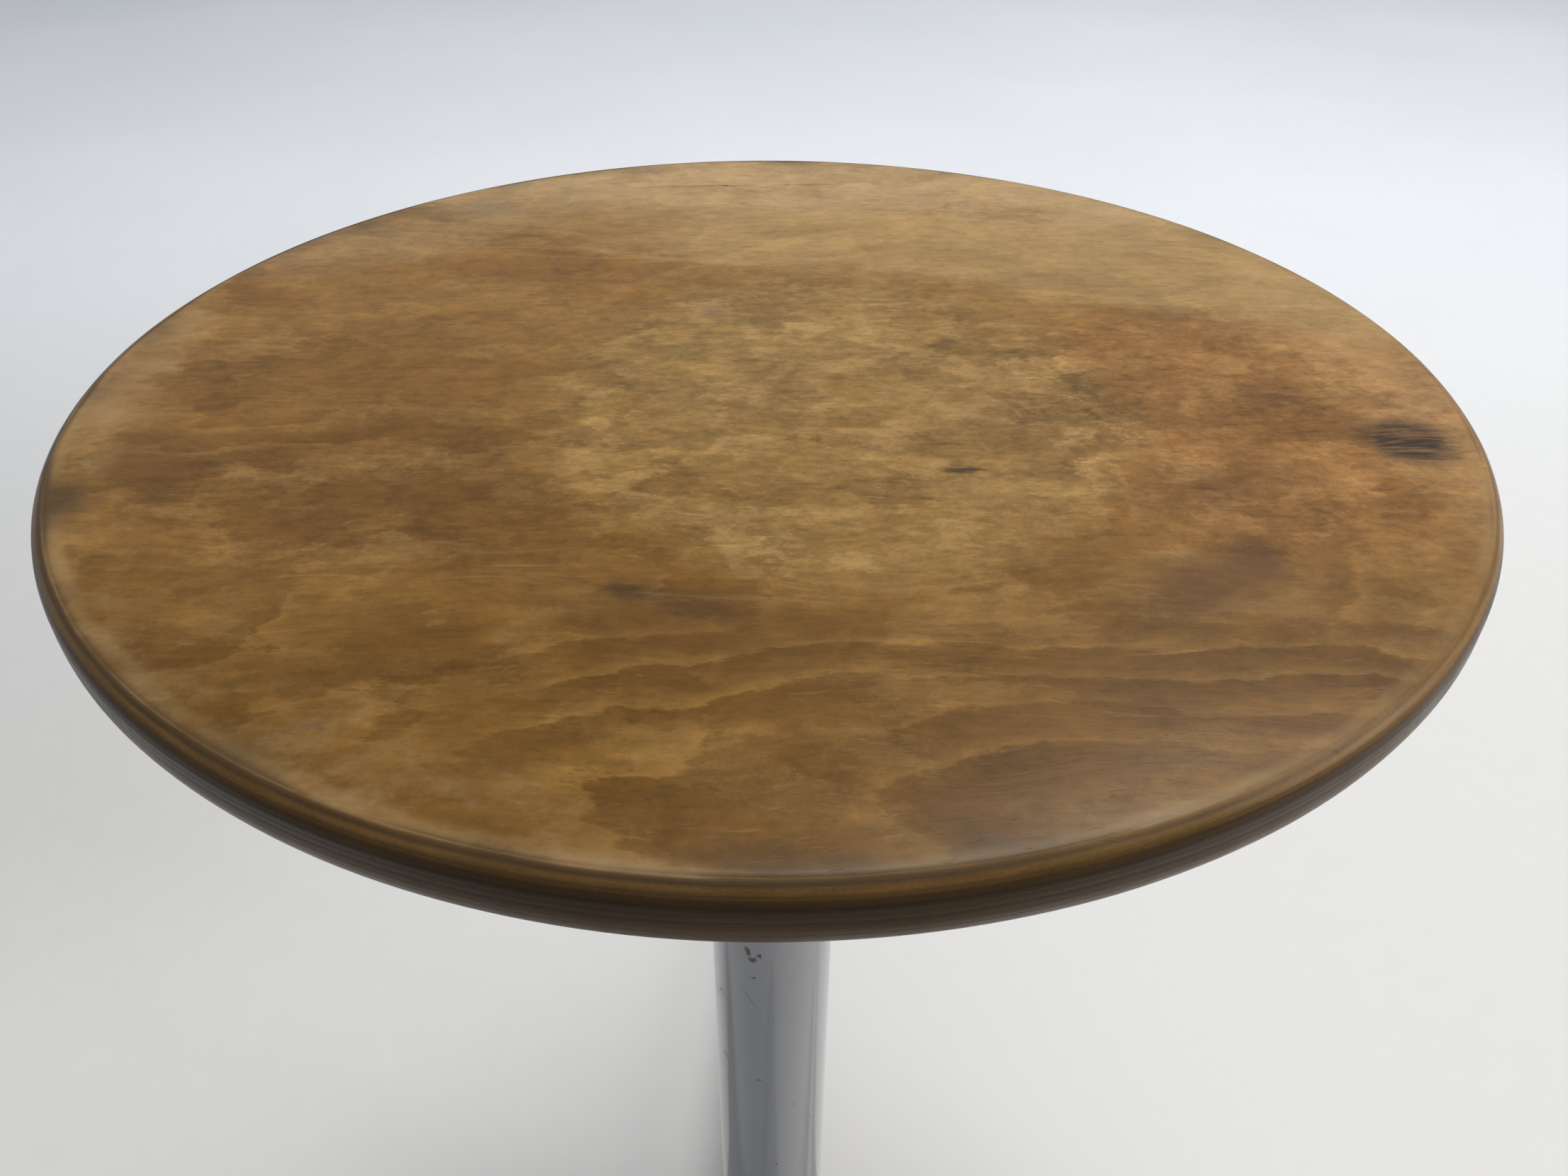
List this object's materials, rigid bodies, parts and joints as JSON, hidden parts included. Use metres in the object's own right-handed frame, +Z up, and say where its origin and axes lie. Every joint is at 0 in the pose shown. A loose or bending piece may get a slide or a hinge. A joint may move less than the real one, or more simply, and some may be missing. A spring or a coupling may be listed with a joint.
{
  "type": "adjustable swivel stool",
  "caption": "Backless stool with a round plywood seat on a threaded spindle that screws up and down in a steel column on a splayed legged base.",
  "frame": {"origin": "on the floor, on the axis of the column, with the seat half way up its travel", "axes": "+Z up along the column and the spindle; the legs point along +X, +Y, -X and -Y; the stool has no front"},
  "size_m": [0.5, 0.5, 0.535],
  "materials": {
    "plywood": "worn clear varnish over beech plywood, ply edges showing",
    "grey_enamel": "glossy light grey enamel, lightly scratched and chipped",
    "spindle_steel": "oiled turned steel",
    "zinc_steel": "zinc plated",
    "nut_bronze": "turned bronze",
    "bush_plastic": "off-white acetal",
    "black_rubber": "matt moulded rubber"
  },
  "bodies": {
    "base": {"column_tube": "grey_enamel", "spindle_nut": "nut_bronze", "nut_screw_1": "zinc_steel", "nut_screw_2": "zinc_steel", "nut_screw_3": "zinc_steel", "base_socket": "grey_enamel", "socket_screw_1": "spindle_steel", "socket_screw_2": "spindle_steel", "base_plug": "black_rubber", "leg_1": "grey_enamel", "leg_2": "grey_enamel", "leg_3": "grey_enamel", "leg_4": "grey_enamel", "foot_pad_1": "black_rubber", "foot_pad_2": "black_rubber", "foot_pad_3": "black_rubber", "foot_pad_4": "black_rubber", "foot_stud_1": "zinc_steel", "foot_stud_2": "zinc_steel", "foot_stud_3": "zinc_steel", "foot_stud_4": "zinc_steel"},
    "guide": {"guide_bush": "bush_plastic"},
    "seat": {"seat_board": "plywood", "seat_plate": "grey_enamel", "seat_boss": "grey_enamel", "boss_bolt": "zinc_steel", "seat_screw_1": "zinc_steel", "seat_screw_2": "zinc_steel", "seat_screw_3": "zinc_steel", "seat_screw_4": "zinc_steel", "spindle": "spindle_steel", "stop_washer": "zinc_steel", "stop_bolt": "zinc_steel"}
  },
  "joints": [
    {"name": "spindle_lift", "type": "slide", "parent": "base", "child": "guide", "axis": [0, 0, 1], "range_m": [-0.0722, 0.0802]},
    {"name": "seat_turn", "type": "hinge", "parent": "guide", "child": "seat", "pos_m": [0, 0, 0.4], "axis": [0, 0, 1], "range_deg": [-3240, 3600]}
  ],
  "couplings": [
    {"joint": "spindle_lift", "follows": "seat_turn", "m_per_rad": 0.0012732}
  ]
}
